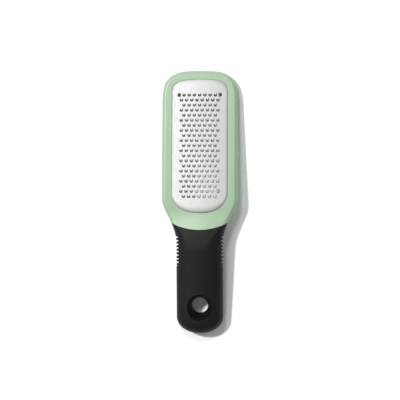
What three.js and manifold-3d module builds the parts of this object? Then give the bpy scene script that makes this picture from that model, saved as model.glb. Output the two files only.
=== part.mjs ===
// Garlic and ginger grater: an etched steel plate in a rigid green head frame, with a soft black grip.
// Millimetres. +X is to the right, +Y runs toward the head's tip and +Z is up.
// The grater lies face up, at z = 0, on the foot under its tip and on a small flat under its handle's end.
import * as THREE from 'three';
import { mergeVertices } from 'three/addons/utils/BufferGeometryUtils.js';
import Module from 'manifold-3d';

// Whole tool
const overallLength = 222;
const seatGap = 0.3; // clearance between pieces that touch

// Head
const headWidth = 64.2;
const headThickness = 8;
const headTipLength = 28; // length of the rounded tip, seen from above
const headTipPower = 3.25; // squareness of that tip, 2 being an ellipse
const headSectionPower = 4;
const tipEdgeRadius = 4;
const tipClearance = 0.8; // height of the frame's underside above the table at the tip

// Neck, where the head narrows, thickens and bends down into the handle
const taperFromTip = 108;
const taperLength = 39;
const taperEase = 1.25; // above 1 the head narrows early and the handle flares out slowly
const swellFromTip = 117;
const swellLength = 36;
const bendFromTip = 133;
const bendHeight = 17;
const bendLength = 6;
const partingFromTip = 134.7; // lowest point of the green chin
const partingRadius = 51;

// Handle
const handleWidth = 39.2;
const handleThickness = 20.8;
const handleEndLength = 14.4;
const handleEndPower = 2.1;
const handleEndDropPower = 3; // the end stays thick longer than it stays wide
const handleSectionPower = 2.4;
const restFlatDepth = 0.7; // cut off under the end of the handle, so that it lies flat

// Grip fins
const finCount = 9;
const finPitch = 3.02;
const firstFinFromTip = 139.3;
const finDepth = 1.9;
const finSlotWidth = 1.7;
const finFadeHeight = 13.1; // half height of the tall oval that the slots run out on

// Hanging hole, square to the handle
const holeFromEnd = 23.4;
const holeDiameter = 13.8;
const holeRimDiameter = 22.2; // where the sloped rim meets the face of the handle
const holeRimDepth = 5;

// Tang inside the grip
const tangFromTip = 124;
const tangToEnd = 37;
const tangRootWidth = 24;
const tangTipWidth = 17;
const tangRootThickness = 9;
const tangTipThickness = 8;
const tangSectionPower = 3;

// Grating plate
const plateFromTip = 7.9;
const plateLength = 112.3;
const plateWidth = 47.2;
const plateThickness = 0.6;
const plateTipLength = 11.9; // length of the rounded corners at the tip
const plateTipPower = 3.2;
const plateChinLength = 16.5; // length of the rounder corners at the chin
const plateChinPower = 2.2;
const plateCrown = 2.2; // rise of the arch across the plate
const plateLift = 1; // edge of the arch above the top of the frame
const plateTurn = 1.8; // drop of the turned-down edge
const plateTurnReach = 2;
const plateFitGap = 0.35; // dark line between the plate and the frame
const ledgeWidth = 2;
const windowFlare = 0.8; // softened inner edge of the frame

// Teeth
const toothRowPitch = 4.28;
const toothColumnPitch = 4.4;
const toothTipMargin = 12.9;
const toothChinMargin = 13.8;
const toothSideMargin = 8.2;
const toothHoleDiameter = 2.5;
const toothRise = 0.75;
const toothWidth = 1.9;
const toothThickness = 0.35;
const toothRootSink = 0.1; // depth of the tooth's root below the face of the sheet
const toothRootLap = 0.5; // how far the tooth's root runs into the sheet beyond its hole
const toothOverhang = 0.15; // how far its point passes the middle of its hole
const toolingHoleDiameter = 3.1;
const toolingHoleOffset = 17.2;

// Foot under the tip
const footWidth = 32;
const footLength = 6;
const footHeight = 2.2;
const footEdge = 0.4;
const footFromTip = 2.6;

// Fineness of the facets
const sectionPoints = 24;
const tipSteps = 7;
const neckSteps = 12;
const endSteps = 8;
const outlineSteps = 6;
const plateEndSteps = 5;
const holeSides = 7;
const hangingHoleSides = 18;
const finSteps = 5;
const footCurveSteps = 6;
const endAngle = (80 * Math.PI) / 180; // rounded ends stop here, at a small blunt face
const mergeDistance = 1e-4;

// Places worked out from the sizes above
const tipY = overallLength / 2;
const endY = -overallLength / 2;
const headHalfWidth = headWidth / 2;
const headHalfThickness = headThickness / 2;
const handleHalfWidth = handleWidth / 2;
const handleHalfThickness = handleThickness / 2;
const taperY = tipY - taperFromTip;
const swellY = tipY - swellFromTip;
const bendY = tipY - bendFromTip;
const partingY = tipY - partingFromTip;
const holeY = endY + holeFromEnd;
const plateTipY = tipY - plateFromTip;
const plateChinY = plateTipY - plateLength;
const plateHalfWidth = plateWidth / 2;
const plateEdgeTop = headHalfThickness + plateLift;
const ledgeHeight = plateEdgeTop - plateTurn - plateThickness - seatGap;
const restY = endY + handleEndLength;
const tipMiddle = headHalfThickness + tipClearance;
const restMiddle = handleHalfThickness - restFlatDepth;
const headSlope = (bendHeight - tipMiddle) / (tipY - bendY);
const handleSlope = (bendHeight - restMiddle) / (bendY - restY);
const cutReach = overallLength; // longer than any solid that a cutter passes through

const wasm = await Module();
wasm.setup();

// Solids and meshes

function solidFrom(geometry) {
  const bare = geometry.clone();
  bare.deleteAttribute('normal');
  bare.deleteAttribute('uv');
  const merged = mergeVertices(bare, mergeDistance);
  const vertProperties = new Float32Array(merged.attributes.position.array);
  const triVerts = new Uint32Array(merged.index.array);
  return new wasm.Manifold(new wasm.Mesh({ numProp: 3, vertProperties, triVerts }));
}

function pieceFrom(solid, name, material) {
  const result = solid.getMesh();
  const geometry = new THREE.BufferGeometry();
  geometry.setAttribute('position', new THREE.BufferAttribute(new Float32Array(result.vertProperties), 3));
  geometry.setIndex(new THREE.BufferAttribute(new Uint32Array(result.triVerts), 1));
  geometry.computeVertexNormals();
  const mesh = new THREE.Mesh(geometry, material);
  mesh.name = name;
  return mesh;
}

function joinAll(solids) {
  return solids.reduce((whole, solid) => whole.add(solid));
}

// Skins a stack of rings that run anticlockwise about the direction of the stack, and closes both ends.
function loft(rings) {
  const count = rings[0].length;
  const positions = [];
  const indices = [];
  const addPoint = (point) => positions.push(point.x, point.y, point.z);
  const middle = (ring) => {
    const sum = ring.reduce((total, point) => total.add(point), new THREE.Vector3());
    return sum.divideScalar(count);
  };
  rings.forEach((ring) => ring.forEach(addPoint));
  addPoint(middle(rings[0]));
  addPoint(middle(rings[rings.length - 1]));
  const startMiddle = rings.length * count;
  const endMiddle = startMiddle + 1;
  const lastRing = (rings.length - 1) * count;
  for (let k = 0; k < count; k++) {
    const next = (k + 1) % count;
    for (let ring = 0; ring < lastRing; ring += count) {
      indices.push(ring + k, ring + next, ring + count + k);
      indices.push(ring + next, ring + count + next, ring + count + k);
    }
    indices.push(startMiddle, next, k);
    indices.push(endMiddle, lastRing + k, lastRing + next);
  }
  const geometry = new THREE.BufferGeometry();
  geometry.setAttribute('position', new THREE.Float32BufferAttribute(positions, 3));
  geometry.setIndex(indices);
  return geometry;
}

// A closed sheet: a grid of points seen from above, the same grid lowered by the thickness, and its rim.
function sheet(grid, thickness) {
  const rows = grid.length;
  const columns = grid[0].length;
  const below = rows * columns;
  const positions = [];
  const indices = [];
  const at = (row, column) => row * columns + column;
  const wall = (from, to) => {
    indices.push(below + from, below + to, to);
    indices.push(below + from, to, from);
  };
  [0, thickness].forEach((drop) => {
    grid.forEach((row) => row.forEach((point) => positions.push(point.x, point.y, point.z - drop)));
  });
  for (let row = 0; row + 1 < rows; row++) {
    for (let column = 0; column + 1 < columns; column++) {
      const a = at(row, column);
      const b = at(row, column + 1);
      const c = at(row + 1, column + 1);
      const d = at(row + 1, column);
      indices.push(a, b, c);
      indices.push(a, c, d);
      indices.push(below + a, below + c, below + b);
      indices.push(below + a, below + d, below + c);
    }
    wall(at(row, columns - 1), at(row + 1, columns - 1));
    wall(at(row + 1, 0), at(row, 0));
  }
  for (let column = 0; column + 1 < columns; column++) {
    wall(at(0, column), at(0, column + 1));
    wall(at(rows - 1, column + 1), at(rows - 1, column));
  }
  const geometry = new THREE.BufferGeometry();
  geometry.setAttribute('position', new THREE.Float32BufferAttribute(positions, 3));
  geometry.setIndex(indices);
  return geometry;
}

function prism(shape, bottom, top) {
  const geometry = new THREE.ExtrudeGeometry(shape, { depth: top - bottom, bevelEnabled: false });
  geometry.translate(0, 0, bottom);
  return solidFrom(geometry);
}

// The form of the whole tool

function signedPower(value, power) {
  return Math.sign(value) * Math.pow(Math.abs(value), power);
}

// Share of the full size left along a rounded end, which runs from 0 to its small blunt face at 1.
function endShare(along, power) {
  const u = THREE.MathUtils.clamp(along, 0, 1) * Math.pow(Math.sin(endAngle), 2 / power);
  return Math.pow(1 - Math.pow(u, power), 1 / power);
}

// Steps along a rounded end, close together where it turns most.
function endPlaces(steps, power) {
  const places = [];
  for (let k = 1; k <= steps; k++) {
    const turn = Math.sin((endAngle * k) / steps) / Math.sin(endAngle);
    places.push(Math.pow(turn, 2 / power));
  }
  return places;
}

// Height of the tool's middle line: two straight runs that fall away from a short bend at the neck.
function spine(y) {
  const along = y - bendY;
  const bend = Math.hypot(along, bendLength);
  return bendHeight + (along * (handleSlope - headSlope)) / 2 - (bend * (handleSlope + headSlope)) / 2;
}

function taperShare(y) {
  const share = THREE.MathUtils.clamp((taperY - y) / taperLength, 0, 1);
  return THREE.MathUtils.smoothstep(1 - Math.pow(1 - share, taperEase), 0, 1);
}

function swellShare(y) {
  return THREE.MathUtils.smoothstep((swellY - y) / swellLength, 0, 1);
}

function halfWidth(y) {
  const full = THREE.MathUtils.lerp(headHalfWidth, handleHalfWidth, taperShare(y));
  const alongTip = (y - (tipY - headTipLength)) / headTipLength;
  const alongEnd = (endY + handleEndLength - y) / handleEndLength;
  return full * endShare(alongTip, headTipPower) * endShare(alongEnd, handleEndPower);
}

function halfThickness(y) {
  const full = THREE.MathUtils.lerp(headHalfThickness, handleHalfThickness, swellShare(y));
  const alongTip = (y - (tipY - tipEdgeRadius)) / tipEdgeRadius;
  const alongEnd = (endY + handleEndLength - y) / handleEndLength;
  return full * endShare(alongTip, 2) * endShare(alongEnd, handleEndDropPower);
}

// An oval section across the tool, from flat with round edges at power 4 to an ellipse at power 2.
function ovalRing(y, width, thickness, power) {
  const ring = [];
  for (let k = 0; k < sectionPoints; k++) {
    const angle = (2 * Math.PI * k) / sectionPoints;
    const x = width * signedPower(Math.sin(angle), 2 / power);
    const z = spine(y) + thickness * signedPower(Math.cos(angle), 2 / power);
    ring.push(new THREE.Vector3(x, y, z));
  }
  return ring;
}

function bodyRing(y) {
  const power = THREE.MathUtils.lerp(headSectionPower, handleSectionPower, swellShare(y));
  return ovalRing(y, halfWidth(y), halfThickness(y), power);
}

// Head and handle as one smooth form, which the parting arc then divides.
function wholeBody() {
  const neckTop = Math.max(taperY, swellY);
  const neckBottom = Math.min(taperY - taperLength, swellY - swellLength);
  const endPart = endPlaces(endSteps, handleEndPower).map((along) => restY - along * handleEndLength);
  const tipPart = endPlaces(tipSteps, headTipPower).map((along) => tipY - headTipLength * (1 - along));
  const neckPart = [];
  for (let k = 0; k <= neckSteps; k++) {
    neckPart.push(THREE.MathUtils.lerp(neckBottom, neckTop, k / neckSteps));
  }
  const places = [...endPart.reverse(), restY, ...neckPart, tipY - headTipLength, ...tipPart];
  const body = solidFrom(loft(places.map(bodyRing)));
  const tableShape = new THREE.Shape();
  tableShape.absarc(0, 0, cutReach, 0, 2 * Math.PI);
  return body.subtract(prism(tableShape, -cutReach, 0));
}

// Everything on one side of the parting arc, grown by the given distance across the arc.
function partingSide(grow, farY) {
  const radius = partingRadius + grow;
  const span = Math.PI / 4;
  const centreY = partingY + partingRadius;
  const arcEndY = centreY - radius * Math.cos(span);
  const shape = new THREE.Shape();
  shape.absarc(0, centreY, radius, -Math.PI / 2 - span, -Math.PI / 2 + span);
  shape.lineTo(cutReach, arcEndY);
  shape.lineTo(cutReach, farY);
  shape.lineTo(-cutReach, farY);
  shape.lineTo(-cutReach, arcEndY);
  shape.closePath();
  return prism(shape, -cutReach, cutReach);
}

// Tang

function tangSolid(grow) {
  const rootY = tipY - tangFromTip;
  const lastY = endY + tangToEnd - grow;
  const rings = [];
  for (let k = neckSteps; k >= 0; k--) {
    const share = k / neckSteps;
    const width = THREE.MathUtils.lerp(tangRootWidth, tangTipWidth, share) / 2 + grow;
    const thickness = THREE.MathUtils.lerp(tangRootThickness, tangTipThickness, share) / 2 + grow;
    rings.push(ovalRing(THREE.MathUtils.lerp(rootY, lastY, share), width, thickness, tangSectionPower));
  }
  return solidFrom(loft(rings));
}

// Grating plate

// The plate's outline grown by a distance, at a height above the tool's middle line.
function plateRing(grow, lift) {
  const rightHalf = (startY, length, power, direction) => {
    const places = [0, ...endPlaces(outlineSteps, power)];
    return places.map((along) => {
      const x = (plateHalfWidth + grow) * endShare(along, power);
      const y = startY + direction * (length + grow) * along;
      return new THREE.Vector3(x, y, spine(y) + lift);
    });
  };
  const chin = rightHalf(plateChinY + plateChinLength, plateChinLength, plateChinPower, -1);
  const tip = rightHalf(plateTipY - plateTipLength, plateTipLength, plateTipPower, 1);
  const right = [...chin.reverse(), ...tip];
  const left = right.map((point) => new THREE.Vector3(-point.x, point.y, point.z)).reverse();
  return [...right, ...left];
}

function plateHalfWidthAt(y) {
  const alongTip = (y - (plateTipY - plateTipLength)) / plateTipLength;
  const alongChin = (plateChinY + plateChinLength - y) / plateChinLength;
  return plateHalfWidth * endShare(alongTip, plateTipPower) * endShare(alongChin, plateChinPower);
}

// Height of the plate's upper face: an arch across its width with its edge turned down all round.
function plateTop(x, y) {
  const sideInset = plateHalfWidthAt(y) - Math.abs(x);
  const endInset = Math.min(plateTipY - y, y - plateChinY);
  const inset = Math.max(0, Math.min(sideInset, endInset));
  const turn = plateTurn * Math.pow(Math.max(0, 1 - inset / plateTurnReach), 2);
  const arch = plateCrown * (1 - Math.pow(x / plateHalfWidth, 2));
  return spine(y) + plateEdgeTop + arch - turn;
}

function plateSheet() {
  const tipPart = endPlaces(plateEndSteps, plateTipPower);
  const chinPart = endPlaces(plateEndSteps, plateChinPower).reverse();
  const rowPlaces = [
    ...chinPart.map((along) => plateChinY + plateChinLength * (1 - along)),
    plateChinY + plateChinLength,
    plateTipY - plateTipLength,
    ...tipPart.map((along) => plateTipY - plateTipLength * (1 - along)),
  ];
  const edgeSteps = [0, plateTurnReach / 3, (2 * plateTurnReach) / 3, plateTurnReach];
  const archShares = [2 / 3, 1 / 3];
  const grid = rowPlaces.map((y) => {
    const width = plateHalfWidthAt(y);
    const rightSide = [
      ...edgeSteps.map((inset) => width - inset),
      ...archShares.map((share) => share * (width - plateTurnReach)),
    ];
    const across = [...rightSide.map((x) => -x), 0, ...rightSide.reverse()];
    return across.map((x) => new THREE.Vector3(x, y, plateTop(x, y)));
  });
  return solidFrom(sheet(grid, plateThickness));
}

function roundHole(x, y, diameter) {
  const shape = new THREE.Shape();
  for (let k = 0; k < holeSides; k++) {
    const angle = (2 * Math.PI * (k + 0.5)) / holeSides;
    const px = x + (diameter / 2) * Math.cos(angle);
    const py = y + (diameter / 2) * Math.sin(angle);
    if (k === 0) {
      shape.moveTo(px, py);
    } else {
      shape.lineTo(px, py);
    }
  }
  shape.closePath();
  return prism(shape, plateTop(x, y) - headThickness, plateTop(x, y) + headThickness);
}

// A pointed tooth rooted in the sheet on the tip's side of its hole, which rises over the hole.
function tooth(x, y) {
  const rootY = y + toothHoleDiameter / 2 + toothRootLap;
  const base = plateTop(x, y);
  const corners = [
    [x - toothWidth / 2, rootY, base - toothRootSink],
    [x + toothWidth / 2, rootY, base - toothRootSink],
    [x, rootY - toothRootLap / 2, base - toothRootSink - toothThickness],
    [x, y - toothOverhang, base + toothRise],
  ];
  const geometry = new THREE.BufferGeometry();
  geometry.setAttribute('position', new THREE.Float32BufferAttribute(corners.flat(), 3));
  geometry.setIndex([0, 3, 1, 0, 2, 3, 1, 3, 2, 0, 1, 2]);
  return solidFrom(geometry);
}

function gratingPlate(material) {
  const fieldLength = plateLength - toothTipMargin - toothChinMargin;
  const rowCount = Math.round(fieldLength / toothRowPitch) + 1;
  const wideCount = Math.round((plateWidth - 2 * toothSideMargin) / toothColumnPitch) + 1;
  const firstRowY = plateTipY - toothTipMargin;
  const markRow = rowCount - 2; // the row whose last tooth gives way to a third tooling hole
  const holes = [];
  const teeth = [];
  for (let row = 0; row < rowCount; row++) {
    const count = row % 2 === 1 ? wideCount : wideCount - 1;
    const y = firstRowY - row * toothRowPitch;
    for (let column = 0; column < count; column++) {
      const x = (column - (count - 1) / 2) * toothColumnPitch;
      const isMark = row === markRow && column === count - 1;
      holes.push(roundHole(x, y, isMark ? toolingHoleDiameter : toothHoleDiameter));
      if (!isMark) {
        teeth.push(tooth(x, y));
      }
    }
  }
  [-toolingHoleOffset, toolingHoleOffset].forEach((x) => {
    holes.push(roundHole(x, firstRowY, toolingHoleDiameter));
  });
  const plate = plateSheet().subtract(joinAll(holes)).add(joinAll(teeth));
  return pieceFrom(plate, 'grating_plate', material);
}

// Head frame

// The window through the head: open below, a ledge for the plate's edge, and a softened upper edge.
function windowCutter() {
  const inner = -ledgeWidth;
  const flared = plateFitGap + windowFlare;
  const flareStart = (ledgeHeight + headHalfThickness) / 2;
  return solidFrom(loft([
    plateRing(inner, -cutReach),
    plateRing(inner, ledgeHeight),
    plateRing(plateFitGap, ledgeHeight),
    plateRing(plateFitGap, flareStart),
    plateRing(flared, headHalfThickness),
    plateRing(flared, cutReach),
  ]));
}

function footShape(grow) {
  const radius = footLength / 2 + grow;
  const reach = (footWidth - footLength) / 2;
  const middleY = tipY - footFromTip - footLength / 2;
  const shape = new THREE.Shape();
  shape.absarc(reach, middleY, radius, -Math.PI / 2, Math.PI / 2);
  shape.absarc(-reach, middleY, radius, Math.PI / 2, (3 * Math.PI) / 2);
  shape.closePath();
  return shape;
}

function headFrame(material) {
  const footRecess = prism(footShape(seatGap), -cutReach, footHeight + seatGap);
  const frame = wholeBody()
    .subtract(partingSide(-seatGap / 2, endY - cutReach))
    .subtract(windowCutter())
    .subtract(footRecess)
    .add(tangSolid(0));
  return pieceFrom(frame, 'head_frame', material);
}

// Soft grip

// A slot between two fins: a V that follows the side of the handle and runs out above and below.
function finSlot(y, side, depth) {
  const overcut = finDepth;
  const innerWidth = halfWidth(y) - depth;
  const innerHeight = (finFadeHeight * halfThickness(y)) / handleHalfThickness;
  const mouth = (finSlotWidth * (depth + overcut)) / finDepth / 2;
  const rings = [];
  for (let k = 0; k <= finSteps; k++) {
    const angle = (Math.PI * (k / finSteps - 0.5) * 5) / 6;
    const place = (grow, shift) => new THREE.Vector3(
      side * (innerWidth + grow) * Math.cos(angle),
      y + shift,
      spine(y) + (innerHeight + grow) * Math.sin(angle),
    );
    const ring = [place(0, 0), place(depth + overcut, -mouth), place(depth + overcut, mouth)];
    rings.push(side > 0 ? ring : ring.reverse());
  }
  return solidFrom(loft(rings));
}

function finSlots() {
  const slots = [];
  for (let k = 0; k < finCount; k++) {
    const y = tipY - firstFinFromTip - (k + 0.5) * finPitch;
    const isLast = k === finCount - 1;
    const depth = isLast ? finDepth / 2 : finDepth;
    slots.push(finSlot(y, 1, depth), finSlot(y, -1, depth));
  }
  return joinAll(slots);
}

// A round hole square to the handle, with a sloped rim on both faces.
function hangingHole() {
  const throatReach = handleHalfThickness - holeRimDepth;
  const reach = handleHalfThickness + holeRimDepth;
  const outerDiameter = 2 * holeRimDiameter - holeDiameter;
  const geometry = new THREE.LatheGeometry([
    new THREE.Vector2(0, -reach),
    new THREE.Vector2(outerDiameter / 2, -reach),
    new THREE.Vector2(holeDiameter / 2, -throatReach),
    new THREE.Vector2(holeDiameter / 2, throatReach),
    new THREE.Vector2(outerDiameter / 2, reach),
    new THREE.Vector2(0, reach),
  ], hangingHoleSides);
  geometry.rotateX(Math.PI / 2 + Math.atan(handleSlope));
  geometry.translate(0, holeY, spine(holeY));
  return solidFrom(geometry);
}

function softGrip(material) {
  const grip = wholeBody()
    .subtract(partingSide(seatGap / 2, tipY + cutReach))
    .subtract(tangSolid(seatGap))
    .subtract(finSlots())
    .subtract(hangingHole());
  return pieceFrom(grip, 'soft_grip', material);
}

// Tip foot

function tipFoot(material) {
  const geometry = new THREE.ExtrudeGeometry(footShape(-footEdge), {
    depth: footHeight - 2 * footEdge,
    bevelThickness: footEdge,
    bevelSize: footEdge,
    bevelSegments: 1,
    curveSegments: footCurveSteps,
  });
  geometry.translate(0, 0, footEdge);
  return pieceFrom(solidFrom(geometry), 'tip_foot', material);
}

const steel = new THREE.MeshStandardMaterial({ color: 0xd0d0ce, roughness: 0.32, metalness: 1 });
const mintPlastic = new THREE.MeshStandardMaterial({ color: 0xb2d2b2, roughness: 0.38, metalness: 0 });
const blackGrip = new THREE.MeshStandardMaterial({ color: 0x242426, roughness: 0.62, metalness: 0 });
const footRubber = new THREE.MeshStandardMaterial({ color: 0x2b2b2d, roughness: 0.8, metalness: 0 });

const grater = new THREE.Group();
grater.name = 'grater';
grater.add(gratingPlate(steel));
grater.add(headFrame(mintPlastic));
grater.add(softGrip(blackGrip));
grater.add(tipFoot(footRubber));

export default grater;
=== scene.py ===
import math

import bmesh
import bpy
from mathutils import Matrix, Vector


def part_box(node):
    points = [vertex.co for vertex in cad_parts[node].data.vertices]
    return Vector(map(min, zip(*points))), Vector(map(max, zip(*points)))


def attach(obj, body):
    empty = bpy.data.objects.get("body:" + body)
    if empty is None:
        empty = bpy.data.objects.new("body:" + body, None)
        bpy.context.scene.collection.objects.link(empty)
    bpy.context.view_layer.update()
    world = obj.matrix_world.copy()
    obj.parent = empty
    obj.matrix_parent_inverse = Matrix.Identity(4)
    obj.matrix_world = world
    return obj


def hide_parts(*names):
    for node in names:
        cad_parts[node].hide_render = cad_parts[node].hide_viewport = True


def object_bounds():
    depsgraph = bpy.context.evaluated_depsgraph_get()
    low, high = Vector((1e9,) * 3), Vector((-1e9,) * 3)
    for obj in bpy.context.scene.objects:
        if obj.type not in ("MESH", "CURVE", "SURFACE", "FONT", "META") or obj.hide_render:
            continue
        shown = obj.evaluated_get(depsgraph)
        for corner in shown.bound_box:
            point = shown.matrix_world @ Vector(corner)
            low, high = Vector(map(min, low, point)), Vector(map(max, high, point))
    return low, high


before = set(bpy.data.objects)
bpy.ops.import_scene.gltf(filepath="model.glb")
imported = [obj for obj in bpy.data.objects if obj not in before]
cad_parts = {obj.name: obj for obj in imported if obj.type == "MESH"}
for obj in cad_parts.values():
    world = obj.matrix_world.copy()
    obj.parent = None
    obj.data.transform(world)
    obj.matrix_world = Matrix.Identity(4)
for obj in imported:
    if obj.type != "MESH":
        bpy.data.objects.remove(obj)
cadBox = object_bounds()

mm = 0.001
print("frame loaded:", ", ".join(sorted(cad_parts)))

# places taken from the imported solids
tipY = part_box("head_frame")[1].y
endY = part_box("soft_grip")[0].y
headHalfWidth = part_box("head_frame")[1].x
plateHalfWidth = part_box("grating_plate")[1].x
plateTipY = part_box("grating_plate")[1].y
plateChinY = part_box("grating_plate")[0].y

# the form that the head and the handle share
bodyForm = {
    "headHalfThickness": 4.0 * mm,
    "headTipLength": 28 * mm,
    "headTipPower": 3.25,
    "rimRound": 3.1 * mm,         # width of the rounding along the head's edge
    "rimPower": 1.6,
    "tipMiddle": 4.8 * mm,
    "taperStart": tipY - 108 * mm,
    "taperLength": 39 * mm,
    "taperEase": 1.25,
    "swellStart": tipY - 117 * mm,
    "swellLength": 36 * mm,
    "roundStart": tipY - 128 * mm,  # from here the flat rim grows into an oval back
    "roundLength": 28 * mm,
    "chinStart": tipY - 110 * mm,
    "chinLength": 20 * mm,
    "chinCrown": 0.22,            # how much of its height the chin loses toward its sides
    "bendY": tipY - 133 * mm,
    "bendHeight": 17 * mm,
    "bendLength": 6 * mm,
    "partingY": tipY - 134.7 * mm,
    "partingRadius": 51 * mm,
    "partingGap": 0.3 * mm,
    "handleHalfWidth": 19.6 * mm,
    "handleHalfThickness": 10.4 * mm,
    "handlePower": 2.1,
    "handleEndLength": 14.4 * mm,
    "handleEndPower": 2.1,
    "handleEndDropPower": 3.0,
    "restFlatDepth": 0.7 * mm,
}

restY = endY + bodyForm["handleEndLength"]
headSlope = (bodyForm["bendHeight"] - bodyForm["tipMiddle"]) / (tipY - bodyForm["bendY"])
restMiddle = bodyForm["handleHalfThickness"] - bodyForm["restFlatDepth"]
handleSlope = (bodyForm["bendHeight"] - restMiddle) / (bodyForm["bendY"] - restY)


def clamp(value, low=0.0, high=1.0):
    return max(low, min(high, value))


def mix(a, b, share):
    return a + (b - a) * share


def ease(value):
    t = clamp(value)
    return t * t * (3 - 2 * t)


# how much of the full size is left along a rounded end, from its start at 0 to its apex at 1
def endShare(along, power):
    return (1 - clamp(along) ** power) ** (1 / power)


# height of the middle line: two straight runs that fall away from a short bend
def spine(y):
    along = y - bodyForm["bendY"]
    bend = math.hypot(along, bodyForm["bendLength"])
    fall = bend * (handleSlope + headSlope) / 2
    return bodyForm["bendHeight"] + along * (handleSlope - headSlope) / 2 - fall


def taperShare(y):
    share = clamp((bodyForm["taperStart"] - y) / bodyForm["taperLength"])
    return ease(1 - (1 - share) ** bodyForm["taperEase"])


def swellShare(y):
    return ease((bodyForm["swellStart"] - y) / bodyForm["swellLength"])


def handleEndAlong(y):
    return (restY - y) / bodyForm["handleEndLength"]


def halfWidth(y):
    full = mix(headHalfWidth, bodyForm["handleHalfWidth"], taperShare(y))
    return full * endShare(handleEndAlong(y), bodyForm["handleEndPower"])


def halfThickness(y):
    full = mix(bodyForm["headHalfThickness"], bodyForm["handleHalfThickness"], swellShare(y))
    return full * endShare(handleEndAlong(y), bodyForm["handleEndDropPower"])


# rise of the surface above the middle line at a distance in from the edge
def edgeRise(y, inset):
    oval = ease((bodyForm["roundStart"] - y) / bodyForm["roundLength"])
    roundWidth = min(mix(bodyForm["rimRound"], halfWidth(y), oval), halfWidth(y))
    power = mix(bodyForm["rimPower"], bodyForm["handlePower"], ease(2 * oval))
    gone = 1 - clamp(inset / roundWidth)
    onChin = ease((bodyForm["chinStart"] - y) / bodyForm["chinLength"]) * (1 - oval)
    across = 1 - clamp(inset / halfWidth(y))
    crown = 1 - bodyForm["chinCrown"] * onChin * across * across
    return halfThickness(y) * (1 - gone ** power) ** (1 / power) * crown


# the line where the green chin meets the black grip
def partingLine(x, grow=0.0):
    radius = bodyForm["partingRadius"] + grow
    return bodyForm["partingY"] + bodyForm["partingRadius"] - math.sqrt(radius * radius - x * x)


# one node of any kind of tree, with its settings and its inputs linked or set
def addNode(tree, kind, inputs=None, **settings):
    made = tree.nodes.new(kind)
    for key, value in settings.items():
        setattr(made, key, value)
    for key, value in (inputs or {}).items():
        if isinstance(value, bpy.types.NodeSocket):
            tree.links.new(value, made.inputs[key])
        else:
            made.inputs[key].default_value = value
    return made


def step(tree, kind, inputs=None, **settings):
    return addNode(tree, kind, inputs, **settings).outputs[0]


def mathStep(tree, operation, a, b):
    return step(tree, "ShaderNodeMath", {0: a, 1: b}, operation=operation)


def newMaterial(name):
    made = bpy.data.materials.new(name)
    made.use_nodes = True
    tree = made.node_tree
    tree.nodes.clear()
    shader = addNode(tree, "ShaderNodeBsdfPrincipled")
    addNode(tree, "ShaderNodeOutputMaterial", {"Surface": shader.outputs["BSDF"]})
    return made, tree, shader


# object coordinates stretched by a factor along each axis
def patternPlace(tree, stretch=(1, 1, 1)):
    place = addNode(tree, "ShaderNodeTexCoord").outputs["Object"]
    return step(tree, "ShaderNodeMapping", {"Vector": place, "Scale": stretch})


def noiseAt(tree, place, scale, detail):
    values = {"Vector": place, "Scale": scale, "Detail": detail, "Roughness": 0.55}
    return addNode(tree, "ShaderNodeTexNoise", values).outputs["Fac"]


# a noise keeps mostly between 0.3 and 0.7, which is spread over the two values
def rampBetween(tree, fac, low, high):
    values = {"Value": fac, "From Min": 0.3, "From Max": 0.7, "To Min": low, "To Max": high}
    return addNode(tree, "ShaderNodeMapRange", values).outputs["Result"]


def tintBetween(tree, fac, dark, light):
    values = {"Factor": fac, "A": (*dark, 1), "B": (*light, 1)}
    return addNode(tree, "ShaderNodeMix", values, data_type="RGBA").outputs["Result"]


def bumpFrom(tree, height, strength, distance):
    values = {"Height": height, "Strength": strength, "Distance": distance}
    return addNode(tree, "ShaderNodeBump", values).outputs["Normal"]


# clouds, lines and grains are the scale and the detail of a noise, bumps are strength and depth
steelLook = {
    "dark": (0.715, 0.715, 0.715),
    "light": (0.77, 0.77, 0.765),
    # near black: painted shade on the holes' rims and walls
    "etched": (0.05, 0.05, 0.05),
    "roughLow": 0.7,
    "roughHigh": 0.8,
    "cloud": (45, 3.0),
    "lines": (1980, 2.0),
    "lineStretch": 0.04,          # along the plate
    "bump": (0.05, 0.02 * mm),
}
mintLook = {
    "dark": (0.347, 0.497, 0.328),
    "light": (0.371, 0.521, 0.352),
    "roughLow": 0.3,
    "roughHigh": 0.36,
    "cloud": (38, 4.0),
    "grain": (1500, 2.0),
    "bump": (0.08, 0.03 * mm),
    "specular": 0.5,
}
gripLook = {
    "dark": (0.0025, 0.0025, 0.003),
    "light": (0.0045, 0.0045, 0.0052),
    "roughLow": 0.54,
    "roughHigh": 0.66,
    "cloud": (60, 4.0),
    "grain": (1800, 3.0),
    "bump": (0.25, 0.06 * mm),
    "specular": 0.3,
}
footLook = {
    "dark": (0.014, 0.014, 0.015),
    "light": (0.024, 0.024, 0.025),
    "roughLow": 0.72,
    "roughHigh": 0.86,
    "cloud": (60, 4.0),
    "grain": (1400, 3.0),
    "bump": (0.25, 0.06 * mm),
    "specular": 0.3,
}


def setLook(tree, shader, tint, rough, normal):
    tree.links.new(tint, shader.inputs["Base Color"])
    tree.links.new(rough, shader.inputs["Roughness"])
    tree.links.new(normal, shader.inputs["Normal"])
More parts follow.
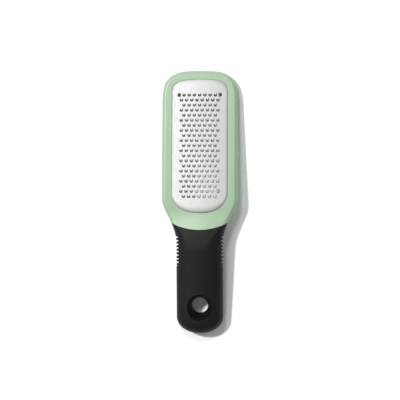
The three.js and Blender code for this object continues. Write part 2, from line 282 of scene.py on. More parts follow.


# satin sheet with faint rolling lines along its length, painted near black as shade on the holes' rims
# and walls
def steelMaterial():
    made, tree, shader = newMaterial("etchedSteel")
    stretched = patternPlace(tree, (1, steelLook["lineStretch"], 1))
    lines = noiseAt(tree, stretched, *steelLook["lines"])
    cloud = noiseAt(tree, patternPlace(tree), *steelLook["cloud"])
    # mask of the painted shade on the holes' rims and walls
    etch = addNode(tree, "ShaderNodeAttribute", attribute_name="etch").outputs["Fac"]
    clean = tintBetween(tree, cloud, steelLook["dark"], steelLook["light"])
    values = {"Factor": etch, "A": clean, "B": (*steelLook["etched"], 1)}
    tint = addNode(tree, "ShaderNodeMix", values, data_type="RGBA").outputs["Result"]
    rough = rampBetween(tree, lines, steelLook["roughLow"], steelLook["roughHigh"])
    setLook(tree, shader, tint, rough, bumpFrom(tree, lines, *steelLook["bump"]))
    shader.inputs["Metallic"].default_value = 1.0
    return made


# moulded plastic or rubber, faintly clouded, with a fine grain
def mouldedMaterial(name, look):
    made, tree, shader = newMaterial(name)
    cloud = noiseAt(tree, patternPlace(tree), *look["cloud"])
    grain = noiseAt(tree, patternPlace(tree), *look["grain"])
    tint = tintBetween(tree, cloud, look["dark"], look["light"])
    rough = rampBetween(tree, grain, look["roughLow"], look["roughHigh"])
    setLook(tree, shader, tint, rough, bumpFrom(tree, grain, *look["bump"]))
    shader.inputs["Specular IOR Level"].default_value = look["specular"]
    shader.inputs["IOR"].default_value = 1.5
    return made


steel = steelMaterial()
mint = mouldedMaterial("mintPlastic", mintLook)
gripRubber = mouldedMaterial("blackGrip", gripLook)
footRubber = mouldedMaterial("footRubber", footLook)
print("materials ready")


def newObject(name, mesh):
    made = bpy.data.objects.new(name, mesh)
    bpy.context.scene.collection.objects.link(made)
    return made


# a mesh from points and faces, doubles merged and faces turned outwards
def meshFrom(name, points, faces, outward=True, closeTo=0.002 * mm):
    mesh = bpy.data.meshes.new(name)
    mesh.from_pydata([tuple(p) for p in points], [], faces)
    bm = bmesh.new()
    bm.from_mesh(mesh)
    bmesh.ops.remove_doubles(bm, verts=bm.verts, dist=closeTo)
    bmesh.ops.dissolve_degenerate(bm, edges=bm.edges, dist=closeTo)
    if outward:
        bmesh.ops.recalc_face_normals(bm, faces=bm.faces)
    bm.to_mesh(mesh)
    bm.free()
    return mesh


# the modifiers' result as a plain mesh, with the modifiers gone
def settle(made):
    graph = bpy.context.evaluated_depsgraph_get()
    mesh = bpy.data.meshes.new_from_object(made.evaluated_get(graph))
    made.modifiers.clear()
    made.data = mesh
    return mesh


# one material, smooth but for edges above an angle, parented to the root, with the node it stands for
# hidden
def finishPiece(made, material, node, sharpAngle):
    mesh = made.data
    mesh.materials.clear()
    mesh.materials.append(material)
    mesh.polygons.foreach_set("material_index", [0] * len(mesh.polygons))
    mesh.shade_smooth()
    mesh.set_sharp_from_angle(angle=math.radians(sharpAngle))
    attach(made, "root")
    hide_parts(node)
    print(made.name, len(mesh.polygons), "faces")


# quads between neighbouring rings of points, and from the last to the first where closed
def skinRings(rings, closed=False):
    count = len(rings[0])
    points = [p for ring in rings for p in ring]
    faces = []
    for r in range(len(rings) if closed else len(rings) - 1):
        a = r * count
        b = (r + 1) % len(rings) * count
        for k in range(count):
            n = (k + 1) % count
            faces.append((a + k, a + n, b + n, b + k))
    return points, faces


# the flat faces over the first and the last ring
def endCaps(points, count):
    return [tuple(range(count)), tuple(len(points) - count + k for k in range(count))]


# the same line cut into equal lengths
def evenPoints(line, count):
    lengths = [0.0]
    for a, b in zip(line, line[1:]):
        lengths.append(lengths[-1] + (b - a).length)
    made = []
    at = 0
    for k in range(count + 1):
        want = lengths[-1] * k / count
        while at < len(lengths) - 2 and lengths[at + 1] < want:
            at += 1
        span = lengths[at + 1] - lengths[at]
        made.append(line[at].lerp(line[at + 1], clamp((want - lengths[at]) / span)))
    return made


# grating plate

plate = {
    "thickness": 0.55 * mm,
    "tipLength": 11.9 * mm,
    "tipPower": 3.2,
    "chinLength": 16.5 * mm,
    "chinPower": 2.2,
    "crown": 2.2 * mm,
    "edgeTop": 5.0 * mm,
    "turn": 1.15 * mm,            # fall of the turned-down edge
    "endTurn": 1.8 * mm,          # the same at the tip and the chin
    "turnReach": 1.7 * mm,        # along the sides
    "endReach": 5 * mm,           # at the tip and the chin
    "tipFall": 0.3 * mm,          # slow fall of the sheet toward the tip
    "tipFallLength": 9.5 * mm,
    "chinFall": 0.3 * mm,         # and toward the chin
    "chinFallLength": 12 * mm,
    "tipTurnLength": 9 * mm,      # over which the side's turn grows into the end's
    "chinTurnLength": 11 * mm,
    "chinAngle": 24,              # where the ring's corners lie
    "tipAngle": 25,
    "outlineSteps": 48,
    "turnSteps": 12,
    "spreadSteps": 5,
    "sharpAngle": 42,
}
teeth = {
    "rows": 21,
    "wideColumns": 8,
    "rowPitch": 4.27 * mm,
    "columnPitch": 4.4 * mm,
    "firstRow": 13.3 * mm,       # below the plate's tip edge
    "holeRadius": 1.27 * mm,
    "toolingRadius": 1.55 * mm,
    "toolingShift": 0.4 * mm,    # toward the middle, for the two at the first row's ends
    "lowHoleShift": 0.45 * mm,   # and toward the edge, for the third one
    "lowHoleRow": 19,            # a wide row, counted from 0
    "rise": 0.8 * mm,
    "point": 0.05 * mm,          # where the tooth's point stands, from the middle of the hole
    "halfAngle": 46.0,
    "sideCuts": 6,               # cuts along each side of a cell
    # rings in to the hole: radius in shares of the hole, depth of the dish, share of the tooth's push
    "rings": [(1.36, 0.0, 0.1), (1.14, 0.015 * mm, 0.55), (1.0, 0.09 * mm, 1.0)],
    "shadeShares": (0.0, 0.0, 0.45, 1.0),   # how far each ring is painted dark as shade, from the cell's sides in
    "etchRise": 0.4 * mm,        # above this the tooth gets no painted shade
    "shadeDepth": 0.05 * mm,      # below this a tooling hole's rim gets painted shade
    "weld": 0.01 * mm,
}


# the plate's outline from its chin round the right side to its tip, moved out by a distance
def plateRightSide(grow, growEnds, chinAngle, tipAngle):
    steps = plate["outlineSteps"]
    chinCorner = round(steps * (1 - chinAngle / 90))
    tipCorner = steps + 1 + round(steps * tipAngle / 90)
    line = []
    power = 2 / plate["chinPower"]
    for k in range(steps + 1):
        angle = math.pi / 2 * (1 - k / steps)
        x = (plateHalfWidth + grow) * math.cos(angle) ** power
        reach = (plate["chinLength"] + growEnds) * math.sin(angle) ** power
        line.append(Vector((x, plateChinY + plate["chinLength"] - reach, 0)))
    power = 2 / plate["tipPower"]
    for k in range(steps + 1):
        angle = math.pi / 2 * k / steps
        x = (plateHalfWidth + grow) * max(0.0, math.cos(angle)) ** power
        reach = (plate["tipLength"] + growEnds) * math.sin(angle) ** power
        line.append(Vector((x, plateTipY - plate["tipLength"] + reach, 0)))
    return line, chinCorner, tipCorner


def mirrored(line):
    return [Vector((-p.x, p.y, p.z)) for p in reversed(line)]


# a closed ring in four runs that start at the corners: right side, tip, left side, chin
def cornerRing(rightLine, chinCorner, tipCorner, sideCount, endCount):
    side = rightLine[chinCorner:tipCorner + 1]
    tipHalf = rightLine[tipCorner:]
    chinHalf = rightLine[:chinCorner + 1]
    tip = tipHalf + mirrored(tipHalf)[1:]
    chin = mirrored(chinHalf) + chinHalf[1:]
    runs = [(side, sideCount), (tip, endCount), (mirrored(side), sideCount), (chin, endCount)]
    ring = []
    for line, count in runs:
        ring += evenPoints(line, count)[:-1]
    return ring


def plateRing(grow, growEnds, sideCount, endCount, chinAngle=45, tipAngle=45):
    line, chinCorner, tipCorner = plateRightSide(grow, growEnds, chinAngle, tipAngle)
    return cornerRing(line, chinCorner, tipCorner, sideCount, endCount)


# how far the sheet falls near its ends
def endFall(y):
    towardTip = clamp(1 - (plateTipY - y) / plate["tipFallLength"])
    towardChin = clamp(1 - (y - plateChinY) / plate["chinFallLength"])
    return plate["tipFall"] * towardTip ** 2 + plate["chinFall"] * towardChin ** 2


# how far the edge is turned down beside a place along the plate
def edgeTurn(y):
    towardChin = ease((plateChinY + plate["chinLength"] - y) / plate["chinTurnLength"])
    towardTip = ease((y - plateTipY + plate["tipLength"]) / plate["tipTurnLength"])
    return mix(plate["turn"], plate["endTurn"], max(towardChin, towardTip))


# the arch that the flat sheet is bent over
def plateArch(x, y):
    crown = plate["crown"] * (1 - (x / plateHalfWidth) ** 2)
    return spine(y) + plate["edgeTop"] + crown - endFall(y)


# rings of a cell from its four sides in to its hole, with the tooth pushed up on the tip's side
def cellRings(radius, hasTooth, shiftX=0.0):
    cuts = teeth["sideCuts"]
    count = 4 * cuts
    halfX = teeth["columnPitch"] / 2
    halfY = teeth["rowPitch"] / 2
    border = []
    for k in range(count):
        side = k - cuts // 2
        run = (side % cuts) / cuts * 2 - 1
        x, y = [(-run, 1), (-1, -run), (run, -1), (1, run)][side // cuts % 4]
        border.append(Vector((halfX * x, halfY * y, 0)))
    rings = [border]
    root = math.radians(teeth["halfAngle"])
    for share, sink, push in teeth["rings"]:
        ring = []
        for k in range(count):
            angle = 2 * math.pi * k / count
            edge = Vector((radius * math.cos(angle), radius * math.sin(angle), 0))
            tooth = clamp(1 - abs(math.degrees(angle) - 90) / teeth["halfAngle"])
            p = edge * share + Vector((shiftX, 0, -sink))
            if hasTooth and tooth > 0:          # straight sides from the root in to the point
                x = math.copysign(radius * math.sin(root) * (1 - tooth), edge.x)
                y = mix(radius * math.cos(root), teeth["point"], tooth)
                p += (Vector((x, y, teeth["rise"] * tooth)) - edge) * push
            ring.append(p)
        rings.append(ring)
    return rings


def toothCell():
    points, faces = skinRings(cellRings(teeth["holeRadius"], True))
    mesh = bpy.data.meshes.new("toothCell")
    mesh.from_pydata([tuple(p) for p in points], [], faces)
    mesh.materials.append(steel)
    count = 4 * teeth["sideCuts"]
    # the rings round the hole are painted near black as shade, fading out up the tooth
    etch = []
    for k, p in enumerate(points):
        etch.append(clamp(1 - p.z / teeth["etchRise"]) * teeth["shadeShares"][k // count])
    mesh.attributes.new("etch", "FLOAT", "POINT").data.foreach_set("value", etch)
    return bpy.data.objects.new("toothCell", mesh)


# everything on the sheet but the teeth: the blank cells, the tooling holes and the turned-down border
def plateBlank():
    points = []
    faces = []
    halfX = teeth["columnPitch"] / 2
    halfY = teeth["rowPitch"] / 2
    cuts = teeth["sideCuts"]
    firstY = plateTipY - teeth["firstRow"]
    edgeX = (teeth["wideColumns"] + 1) * halfX

    def addPart(partPoints, partFaces):
        start = len(points)
        points.extend(partPoints)
        faces.extend([tuple(start + k for k in f) for f in partFaces])

    def addGrid(x0, x1, y0, y1, columns, rows):
        grid = []
        for r in range(rows + 1):
            for c in range(columns + 1):
                grid.append(Vector((mix(x0, x1, c / columns), mix(y0, y1, r / rows), 0)))
        quads = []
        for r in range(rows):
            for c in range(columns):
                a = r * (columns + 1) + c
                quads.append((a, a + 1, a + columns + 2, a + columns + 1))
        addPart(grid, quads)

    def addToolingHole(x, y, shiftX):
        cellPoints, cellFaces = skinRings(cellRings(teeth["toolingRadius"], False, shiftX))
        addPart([p + Vector((x, y, 0)) for p in cellPoints], cellFaces)

    for row in range(teeth["rows"]):
        y = firstY - row * teeth["rowPitch"]
        wide = row % 2 == 1
        toothEdge = (teeth["wideColumns"] - (0 if wide else 1)) * halfX
        for side in (-1, 1):
            if row == 0:
                addToolingHole(side * (toothEdge + halfX), y, -side * teeth["toolingShift"])
            else:
                low, high = sorted((side * toothEdge, side * edgeX))
                addGrid(low, high, y - halfY, y + halfY, cuts // 2 if wide else cuts, cuts)
        if row == teeth["lowHoleRow"]:
            addToolingHole(toothEdge - halfX, y, teeth["lowHoleShift"])

    sideCount = teeth["rows"] * cuts
    endCount = (teeth["wideColumns"] + 1) * cuts
    topY = firstY + halfY
    lowY = topY - teeth["rows"] * teeth["rowPitch"]
    corners = [(edgeX, lowY), (edgeX, topY), (-edgeX, topY), (-edgeX, lowY)]
    field = []
    for k, count in enumerate([sideCount, endCount, sideCount, endCount]):
        a = Vector((*corners[k], 0))
        b = Vector((*corners[(k + 1) % 4], 0))
        field += [a.lerp(b, n / count) for n in range(count)]

    def edgeRing(inward):
        reach = plate["turnReach"] * inward
        endReach = plate["endReach"] * inward
        return plateRing(-reach, -endReach, sideCount, endCount, plate["chinAngle"], plate["tipAngle"])

    inner = edgeRing(1)
    rings = [field]
    for k in range(1, plate["spreadSteps"] + 1):
        rings.append([a.lerp(b, k / plate["spreadSteps"]) for a, b in zip(field, inner)])
    for k in range(1, plate["turnSteps"] + 1):
        turn = math.pi / 2 * k / plate["turnSteps"]
        share = 1 - math.cos(turn)
        ring = edgeRing(1 - math.sin(turn))
        rings.append([p - Vector((0, 0, share * edgeTurn(p.y))) for p in ring])
    ringPoints, ringFaces = skinRings(rings)
    addPart(ringPoints, [tuple(reversed(f)) for f in ringFaces])
    mesh = meshFrom("plateBlank", points, faces, outward=False, closeTo=teeth["weld"])
    # painted shade on the tooling holes' sunken rims
    etch = []
    for vertex in mesh.vertices:                # inside the field only the tooling holes' low rims get painted shade
        p = vertex.co
        inField = abs(p.x) < edgeX and lowY < p.y < topY
        etch.append(float(inField and p.z < -teeth["shadeDepth"]))
    mesh.attributes.new("etch", "FLOAT", "POINT").data.foreach_set("value", etch)
    return mesh


# an empty node tree with its inputs, their identifiers for the modifier and their sockets
def newGeometryTree(name, inputs):
    tree = bpy.data.node_groups.new(name, "GeometryNodeTree")
    face = tree.interface
    face.new_socket("Geometry", in_out="INPUT", socket_type="NodeSocketGeometry")
    ids = {}
    for label, kind in inputs.items():
        ids[label] = face.new_socket(label, in_out="INPUT", socket_type="NodeSocket" + kind).identifier
    face.new_socket("Geometry", in_out="OUTPUT", socket_type="NodeSocketGeometry")
    return tree, ids, addNode(tree, "NodeGroupInput").outputs


def addTree(made, tree, ids, values):
    modifier = made.modifiers.new(tree.name, "NODES")
    modifier.node_group = tree
    for label, value in values.items():
        modifier[ids[label]] = value


# sets the teeth cell by cell in staggered rows and welds them to the blank sheet
def toothFieldTree():
    tree, ids, given = newGeometryTree("toothField", {
        "Tooth Cell": "Object", "Wide Columns": "Int", "Wide Rows": "Int",
        "Column Pitch": "Float", "Row Pitch": "Float", "Field Middle": "Vector",
        "Low Hole X": "Float", "Low Hole Y": "Float", "Metal": "Material",
    })
    cell = addNode(tree, "GeometryNodeObjectInfo", {"Object": given["Tooth Cell"]}).outputs["Geometry"]
    rowStep = mathStep(tree, "MULTIPLY", given["Row Pitch"], 2.0)
    placed = []
    for extra in (0, 1):                        # the wide rows, then the narrow ones
        columns = mathStep(tree, "SUBTRACT", given["Wide Columns"], extra)
        rows = mathStep(tree, "ADD", given["Wide Rows"], extra)
        columnGaps = mathStep(tree, "SUBTRACT", columns, 1.0)
        rowGaps = mathStep(tree, "SUBTRACT", rows, 1.0)
        grid = step(tree, "GeometryNodeMeshGrid", {
            "Size X": mathStep(tree, "MULTIPLY", columnGaps, given["Column Pitch"]),
            "Size Y": mathStep(tree, "MULTIPLY", rowGaps, rowStep),
            "Vertices X": columns,
            "Vertices Y": rows,
        })
        middle = {"Geometry": grid, "Translation": given["Field Middle"]}
        moved = step(tree, "GeometryNodeTransform", middle)
        # no tooth where the third tooling hole is
        here = step(tree, "GeometryNodeInputPosition")
        where = addNode(tree, "ShaderNodeSeparateXYZ", {0: here}).outputs
        acrossFrom = {0: where["X"], 1: given["Low Hole X"]}
        belowFrom = {0: where["Y"], 1: given["Low Hole Y"]}
        right = step(tree, "FunctionNodeCompare", acrossFrom, operation="GREATER_THAN")
        lower = step(tree, "FunctionNodeCompare", belowFrom, operation="LESS_THAN")
        onHole = step(tree, "FunctionNodeBooleanMath", {0: right, 1: lower}, operation="AND")
        kept = step(tree, "GeometryNodeDeleteGeometry", {"Geometry": moved, "Selection": onHole})
        placed.append(step(tree, "GeometryNodeInstanceOnPoints", {"Points": kept, "Instance": cell}))
    joined = addNode(tree, "GeometryNodeJoinGeometry")
    for source in placed + [given["Geometry"]]:
        tree.links.new(source, joined.inputs[0])
    real = step(tree, "GeometryNodeRealizeInstances", {"Geometry": joined.outputs[0]})
    welded = step(tree, "GeometryNodeMergeByDistance", {"Geometry": real, "Distance": teeth["weld"]})
    metal = step(tree, "GeometryNodeSetMaterial", {"Geometry": welded, "Material": given["Metal"]})
    addNode(tree, "NodeGroupOutput", {0: metal})
    return tree, ids


def makePlate():
    made = newObject("etched_plate", plateBlank())
    cell = toothCell()
    tree, ids = toothFieldTree()
    firstY = plateTipY - teeth["firstRow"]
    lastY = firstY - (teeth["rows"] - 1) * teeth["rowPitch"]
    addTree(made, tree, ids, {
        "Tooth Cell": cell,
        "Wide Columns": teeth["wideColumns"],
        "Wide Rows": teeth["rows"] // 2,
        "Column Pitch": teeth["columnPitch"],
        "Row Pitch": teeth["rowPitch"],
        "Field Middle": (0, (firstY + lastY) / 2, 0),
        "Low Hole X": (teeth["wideColumns"] - 1.5) / 2 * teeth["columnPitch"],   # past the narrow rows
        "Low Hole Y": firstY - (teeth["lowHoleRow"] - 0.5) * teeth["rowPitch"],
        "Metal": steel,
    })
    mesh = settle(made)
    for vertex in mesh.vertices:
        vertex.co.z += plateArch(vertex.co.x, vertex.co.y)
    wall = made.modifiers.new("sheet", "SOLIDIFY")
    wall.thickness = plate["thickness"]
    wall.offset = -1
    settle(made)
    bpy.data.objects.remove(cell)
    finishPiece(made, steel, "grating_plate", plate["sharpAngle"])


# head frame

headFrame = {
    "fitGap": 0.05 * mm,
    "innerRound": 0.4 * mm,       # softened edge round the plate
    "ledgeWidth": 2.0 * mm,
    "ledgeHeight": 2.3 * mm,
    "lowerRound": 0.8 * mm,
    "partingRound": 0.35 * mm,
    "tipBlendY": tipY - 41 * mm,  # from here up the inset is measured along the rows
    "tipBlendLength": 15 * mm,
    "outlineSteps": 60,
    "sideCount": 150,
    "endCount": 84,
    "topSteps": 20,
    "roundSteps": 5,
    "wallSteps": 6,
    "sharpAngle": 50,
}


# the head's outline from the parting line at the middle, round the right side to the tip
def headRightSide():
    reach = bodyForm["partingGap"] / 2
    steps = headFrame["outlineSteps"]
    low, high = 0.0, headHalfWidth
    for _ in range(40):                       # where the parting line meets the side
        x = (low + high) / 2
        if halfWidth(partingLine(x, -reach)) > x:
            low = x
        else:
            high = x
    line = []
    for k in range(steps + 1):
        x = low * k / steps
        line.append(Vector((x, partingLine(x, -reach), 0)))
    chinCorner = len(line) - 1
    startY = line[-1].y
    stopY = tipY - bodyForm["headTipLength"]
    for k in range(1, steps + 1):
        y = mix(startY, stopY, k / steps)
        line.append(Vector((halfWidth(y), y, 0)))
    power = 2 / bodyForm["headTipPower"]
    for k in range(1, steps + 1):
        angle = math.pi / 2 * k / steps
        x = headHalfWidth * max(0.0, math.cos(angle)) ** power
        line.append(Vector((x, stopY + bodyForm["headTipLength"] * math.sin(angle) ** power, 0)))
    return line, chinCorner, chinCorner + steps + steps // 2


def makeFrame():
    sideCount, endCount = headFrame["sideCount"], headFrame["endCount"]
    inner = plateRing(headFrame["fitGap"], headFrame["fitGap"], sideCount, endCount)
    line, chinCorner, tipCorner = headRightSide()
    outer = cornerRing(line, chinCorner, tipCorner, sideCount, endCount)
    chinStart = 2 * sideCount + endCount
    topSteps = headFrame["topSteps"]
    roundSteps = headFrame["roundSteps"]
    turns = [math.pi / 2 * n / roundSteps for n in range(roundSteps + 1)]
    # rows across the top and the underside, close together at the edge
    shares = [math.sin(math.pi / 2 * n / topSteps) for n in range(topSteps + 1)]
    columns = []
    for k, (a, b) in enumerate(zip(inner, outer)):
        span = (b - a).length
        out = (b - a).normalized()
        onChin = k >= chinStart

        def place(distance):
            return a + out * distance

        # distance in from the edge of the whole tool
        def insetAt(p, distance):
            fromLine = span - distance
            fromSide = halfWidth(p.y) - abs(p.x)
            blend = ease((p.y - headFrame["tipBlendY"]) / headFrame["tipBlendLength"])
            return mix(fromSide, fromLine, blend)

        def face(distance, direction, drop=0.0):
            p = place(distance)
            rise = edgeRise(p.y, insetAt(p, distance))
            return Vector((p.x, p.y, spine(p.y) + direction * max(0.0, rise - drop)))

        def level(distance, height):
            p = place(distance)
            return Vector((p.x, p.y, spine(p.y) + height))

        # the chin's last row is lowered to soften the edge beside the grip
        def edgeDrop(n):
            return headFrame["partingRound"] if onChin and n == topSteps else 0.0

        ledge = headFrame["ledgeHeight"]
        rows = [level(-headFrame["ledgeWidth"], ledge), level(0, ledge)]
        for turn in turns:                      # up the wall and over the softened inner edge
            radius = headFrame["innerRound"]
            rows.append(face(radius * (1 - math.cos(turn)), 1, radius * (1 - math.sin(turn))))
        start, stop = headFrame["innerRound"], span
        for n in range(1, topSteps + 1):
            rows.append(face(mix(start, stop, shares[n]), 1, edgeDrop(n)))
        top = rows[-1]
        low = face(span, -1, edgeDrop(topSteps))
        for n in range(1, headFrame["wallSteps"]):
            rows.append(top.lerp(low, n / headFrame["wallSteps"]))
        start = -headFrame["ledgeWidth"] + headFrame["lowerRound"]
        for n in range(topSteps, -1, -1):
            rows.append(face(mix(start, stop, shares[n]), -1, edgeDrop(n)))
        for turn in turns[1:]:                  # in over the lower edge to the wall of the window
            radius = headFrame["lowerRound"]
            rows.append(face(start - radius * math.sin(turn), -1, radius * (1 - math.cos(turn))))
        columns.append(rows)
    points, faces = skinRings(columns, closed=True)
    made = newObject("mint_frame", meshFrom("mint_frame", points, faces))
    finishPiece(made, mint, "head_frame", headFrame["sharpAngle"])


# soft grip

grip = {
    "ringCount": 160,
    "startStep": 0.5 * mm,
    "finStep": 0.2 * mm,
    "plainStep": 1.6 * mm,
    "endSteps": 26,
    "endAngle": 89.4,             # the last ring stops just short of the apex
    "bowLength": 11 * mm,         # over which the rings straighten from the parting line's curve
    "seatInsets": (6 * mm, 2 * mm),  # rings of the hidden face beside the chin
    "partingRound": 0.4 * mm,
    "partingTurns": (90, 60, 30),  # degrees round the softened edge
    "finCount": 9,
    "finPitch": 3.02 * mm,
    "firstFin": tipY - 139.3 * mm,
    "finDepth": 1.9 * mm,
    "finMargin": 0.5 * mm,        # fine rings reach this far past the fins
    "finEdge": 0.17,              # in shares of the pitch from the middle of a fin
    "slotEdge": 0.47,
    "finFade": 0.65,              # in pitches, past the last fin
    "finFadeHeight": 13.1 * mm,   # half height of the oval that the slot floors lie on
    "holeY": endY + 23.4 * mm,
    "holeRadius": 6.65 * mm,
    "rimRadius": 11.1 * mm,
    "rimDepth": 10.5 * mm,
    "lowerRimDepth": 2 * mm,
    "slopeBend": 1.2 * mm,        # each slope runs into the hole's wall through a soft bend
    "pegOver": 4 * mm,
    "pegSteps": 60,
    "pegSides": 96,
    "sharpAngle": 38,
}


# one ring of the grip across the handle, bowed to the parting line near its start
def gripRing(y, shrink=0.0):
    ring = []
    start = bodyForm["partingY"]
    bow = ease(1 - (start - y) / grip["bowLength"])
    for k in range(grip["ringCount"]):
        angle = 2 * math.pi * k / grip["ringCount"]
        share = math.sin(angle)
        at = y
        for _ in range(6):                      # settle the place, because the width changes along it
            x = halfWidth(at) * share
            at = y + bow * (partingLine(x, bodyForm["partingGap"] / 2) - start)
        x = halfWidth(at) * share
        z = edgeRise(at, halfWidth(at) - abs(x)) * math.copysign(1, math.cos(angle))
        size = math.hypot(x, z) or 1.0
        keep = 1 - shrink / size
        height = clamp(spine(at) + z * keep, 0.0, cadBox[1][2])   # flat where it rests on the floor
        ring.append(Vector((x * keep, at, height)))
    return ring


# where the floor of a fin slot would be under a point of the grip
def slotFloor(p):
    z = p.z - spine(p.y)
    innerX = halfWidth(p.y) - grip["finDepth"]
    innerZ = grip["finFadeHeight"] * halfThickness(p.y) / bodyForm["handleHalfThickness"]
    size = math.hypot(p.x / innerX, z / innerZ)
    if size <= 1:
        return p.copy()
    return Vector((p.x / size, p.y, spine(p.y) + z / size))


# draws the surface in to the slot floors between the fins
def finTree():
    tree, ids, given = newGeometryTree("gripFins", {
        "First Fin": "Float", "Pitch": "Float", "Fins": "Float", "Rubber": "Material",
    })
    here = step(tree, "GeometryNodeInputPosition")
    y = addNode(tree, "ShaderNodeSeparateXYZ", {0: here}).outputs["Y"]
    along = mathStep(tree, "SUBTRACT", given["First Fin"], y)
    count = mathStep(tree, "DIVIDE", along, given["Pitch"])      # 0 at the first fin
    wave = mathStep(tree, "PINGPONG", count, 0.5)                # 0 on a fin, 0.5 in a slot
    edges = {"Value": wave, "From Min": grip["finEdge"], "From Max": grip["slotEdge"]}
    depth = step(tree, "ShaderNodeMapRange", edges, interpolation_type="SMOOTHSTEP")
    begun = mathStep(tree, "GREATER_THAN", count, 0.0)
    lastFin = mathStep(tree, "SUBTRACT", given["Fins"], 1.0)
    fadeEnd = mathStep(tree, "ADD", lastFin, grip["finFade"])
    fade = {"Value": count, "From Min": lastFin, "From Max": fadeEnd, "To Min": 1.0, "To Max": 0.0}
    fading = step(tree, "ShaderNodeMapRange", fade)
    share = mathStep(tree, "MULTIPLY", mathStep(tree, "MULTIPLY", depth, begun), fading)
    stored = {"Name": "slotFloor"}
    floorPlace = step(tree, "GeometryNodeInputNamedAttribute", stored, data_type="FLOAT_VECTOR")
    between = {"Factor": share, "A": here, "B": floorPlace}
    sunk = addNode(tree, "ShaderNodeMix", between, data_type="VECTOR").outputs["Result"]
    moved = step(tree, "GeometryNodeSetPosition", {"Geometry": given["Geometry"], "Position": sunk})
    real = step(tree, "GeometryNodeRealizeInstances", {"Geometry": moved})
    rubber = step(tree, "GeometryNodeSetMaterial", {"Geometry": real, "Material": given["Rubber"]})
    addNode(tree, "NodeGroupOutput", {0: rubber})
    return tree, ids


# a round peg square to the handle that flares out to meet both of its faces
def hangingHolePeg():
    middle = Vector((0, grip["holeY"], spine(grip["holeY"])))
    along = Vector((0, -handleSlope, 1)).normalized()
    across = Vector((0, along.z, -along.y))
    reach = bodyForm["handleHalfThickness"]
    over = reach + grip["pegOver"]
    sides = grip["pegSides"]

    def flareAt(height, depth):
        past = height - (reach - depth)
        slope = (grip["rimRadius"] - grip["holeRadius"]) / depth
        return slope * (past + math.hypot(past, grip["slopeBend"])) / 2

    rings = []
    for n in range(grip["pegSteps"] + 1):
        height = mix(over, -over, n / grip["pegSteps"])
        flare = max(flareAt(height, grip["rimDepth"]), flareAt(-height, grip["lowerRimDepth"]))
        size = grip["holeRadius"] + flare
        ring = []
        for k in range(sides):
            angle = 2 * math.pi * k / sides
            p = middle + along * height + Vector((size * math.cos(angle), 0, 0))
            ring.append(p + across * (size * math.sin(angle)))
        rings.append(ring)
    points, faces = skinRings(rings)
    return newObject("holePeg", meshFrom("holePeg", points, faces + endCaps(points, sides)))


def makeGrip():
    start = bodyForm["partingY"]
    finEnd = grip["firstFin"] - grip["finCount"] * grip["finPitch"]
    places = []
    y = start
    while y > restY:
        places.append(y)
        if y > grip["firstFin"] + grip["finMargin"]:
            y -= grip["startStep"]
        elif y > finEnd - grip["finMargin"]:
            y -= grip["finStep"]
        else:
            y -= grip["plainStep"]
    for k in range(grip["endSteps"] + 1):
        angle = math.radians(grip["endAngle"]) * k / grip["endSteps"]
        along = math.sin(angle) ** (2 / bodyForm["handleEndPower"])
        places.append(restY - bodyForm["handleEndLength"] * along)
    rings = [gripRing(start, inset) for inset in grip["seatInsets"]]
    for degrees in grip["partingTurns"]:        # softened edge beside the green chin
        turn = math.radians(degrees)
        back = grip["partingRound"] * (1 - math.sin(turn))
        inset = grip["partingRound"] * (1 - math.cos(turn))
        rings.append(gripRing(start - back, inset))
    rings += [gripRing(y) for y in places[1:]]
    points, faces = skinRings(rings)
    mesh = meshFrom("soft_handle", points, faces + endCaps(points, grip["ringCount"]))
    floors = mesh.attributes.new("slotFloor", "FLOAT_VECTOR", "POINT")
    floors.data.foreach_set("vector", [c for v in mesh.vertices for c in slotFloor(v.co)])
    made = newObject("soft_handle", mesh)
    tree, ids = finTree()
    addTree(made, tree, ids, {
        "First Fin": grip["firstFin"],
        "Pitch": grip["finPitch"],
        "Fins": float(grip["finCount"]),
        "Rubber": gripRubber,
    })
    settle(made)
    made.data.attributes.remove(made.data.attributes["slotFloor"])
    peg = hangingHolePeg()
    cut = made.modifiers.new("hangingHole", "BOOLEAN")
    cut.operation = "DIFFERENCE"
    cut.object = peg
    cut.solver = "EXACT"
    settle(made)
    bpy.data.objects.remove(peg)
    finishPiece(made, gripRubber, "soft_grip", grip["sharpAngle"])


# tip foot

foot = {
    "edge": 0.5 * mm,
    "edgeSteps": 4,
    "roundSteps": 18,
    "treadDepth": 0.5 * mm,       # hollow in the sole, inside a narrow lip
    "lipInset": 1.6 * mm,
    "hollowInset": 1.9 * mm,
    "sharpAngle": 40,
}


def makeFoot():
    low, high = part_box("tip_foot")
    radius = (high.y - low.y) / 2
    reach = (high.x - low.x) / 2 - radius
    middle = (high.y + low.y) / 2

    def stadium(inset, z):
        ring = []
        for side in (1, -1):
            for k in range(foot["roundSteps"] + 1):
                angle = math.pi * k / foot["roundSteps"] - math.pi / 2
                x = side * (reach + (radius - inset) * math.cos(angle))
                ring.append(Vector((x, middle + side * (radius - inset) * math.sin(angle), z)))
        return ring

    edge = foot["edge"]
    turns = [math.pi / 2 * k / foot["edgeSteps"] for k in range(foot["edgeSteps"] + 1)]
    rings = [stadium(foot["hollowInset"], low.z + foot["treadDepth"]), stadium(foot["lipInset"], low.z)]
    rings += [stadium(edge * (1 - math.sin(t)), low.z + edge * (1 - math.cos(t))) for t in turns]
    rings += [stadium(edge * (1 - math.cos(t)), high.z - edge * (1 - math.sin(t))) for t in turns]
    points, faces = skinRings(rings)
    mesh = meshFrom("non_slip_foot", points, faces + endCaps(points, len(rings[0])))
    made = newObject("non_slip_foot", mesh)
    finishPiece(made, footRubber, "tip_foot", foot["sharpAngle"])


makePlate()
makeFrame()
makeGrip()
makeFoot()

# stage, camera and lights

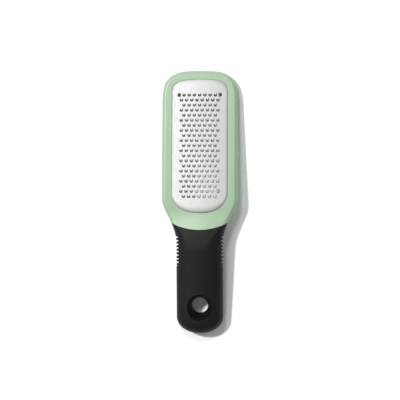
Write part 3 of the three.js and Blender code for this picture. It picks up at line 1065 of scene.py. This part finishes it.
stage = {
    "floorHalf": 2.0,
    "floorColor": (0.98, 0.98, 0.98),
    "floorSeen": (1.12, 1.12, 1.12),  # the paper as the camera and mirrors see it
    "floorRough": 0.9,
    "fill": 0.31,
    "keyStrength": 2.14,
    "keyFrom": (-0.475, 0.318, 0.82),
    "keySize": 5.0,               # degrees across
    "softboxPower": 2.9,
    "softboxFrom": (-0.14, 0.5, 0.855),
    "softboxDistance": 1.2,
    "softboxSize": 0.22,
    "cameraDistance": 1.0,
    "cameraTilt": 3.3,
    "cameraClip": (0.01, 20),
    "sensorWidth": 36,
    "frameWidth": 0.3368,         # what the picture spans at the object
    "target": (0.13 * mm, 1.4 * mm, 12 * mm),
}


def makeFloor():
    half = stage["floorHalf"]
    mesh = bpy.data.meshes.new("floor")
    corners = [(-half, -half, 0), (half, -half, 0), (half, half, 0), (-half, half, 0)]
    mesh.from_pydata(corners, [], [(0, 1, 2, 3)])
    made, tree, shader = newMaterial("paleFloor")
    # a touch whiter where it is seen or mirrored, so that it stays white round the object
    rays = addNode(tree, "ShaderNodeLightPath").outputs
    seen = rays["Is Camera Ray"]
    for kind in ("Is Glossy Ray", "Is Transmission Ray"):
        seen = mathStep(tree, "MAXIMUM", seen, rays[kind])
    tint = tintBetween(tree, seen, stage["floorColor"], stage["floorSeen"])
    tree.links.new(tint, shader.inputs["Base Color"])
    shader.inputs["Roughness"].default_value = stage["floorRough"]
    shader.inputs["Specular IOR Level"].default_value = 0.0
    mesh.materials.append(made)
    newObject("floor", mesh)


def makeWorld():
    world = bpy.data.worlds.new("studio")
    bpy.context.scene.world = world
    world.use_nodes = True
    tree = world.node_tree
    tree.nodes.clear()
    back = addNode(tree, "ShaderNodeBackground", {"Color": (1, 1, 1, 1), "Strength": stage["fill"]})
    addNode(tree, "ShaderNodeOutputWorld", {"Surface": back.outputs[0]})


def makeKey():
    lamp = bpy.data.lights.new("key", "SUN")
    lamp.energy = stage["keyStrength"]
    lamp.angle = math.radians(stage["keySize"])
    made = newObject("key", lamp)
    made.rotation_euler = Vector(stage["keyFrom"]).to_track_quat("Z", "Y").to_euler()


def makeSoftbox():
    lamp = bpy.data.lights.new("softbox", "AREA")
    lamp.energy = stage["softboxPower"]
    lamp.size = stage["softboxSize"]
    made = newObject("softbox", lamp)
    toward = Vector(stage["softboxFrom"]).normalized()
    made.location = toward * stage["softboxDistance"]
    made.rotation_euler = toward.to_track_quat("Z", "Y").to_euler()


def makeCamera():
    lens = bpy.data.cameras.new("camera")
    made = newObject("camera", lens)
    tilt = math.radians(stage["cameraTilt"])
    back = Vector((math.sin(tilt), 0, math.cos(tilt))) * stage["cameraDistance"]
    made.location = Vector(stage["target"]) + back
    made.rotation_euler = (0, tilt, 0)
    lens.sensor_width = stage["sensorWidth"]
    lens.lens = stage["sensorWidth"] * stage["cameraDistance"] / stage["frameWidth"]
    lens.clip_start, lens.clip_end = stage["cameraClip"]
    bpy.context.scene.camera = made


makeFloor()
makeWorld()
makeKey()
makeSoftbox()
makeCamera()
bpy.context.scene.view_settings.view_transform = "Standard"
print("stage ready")
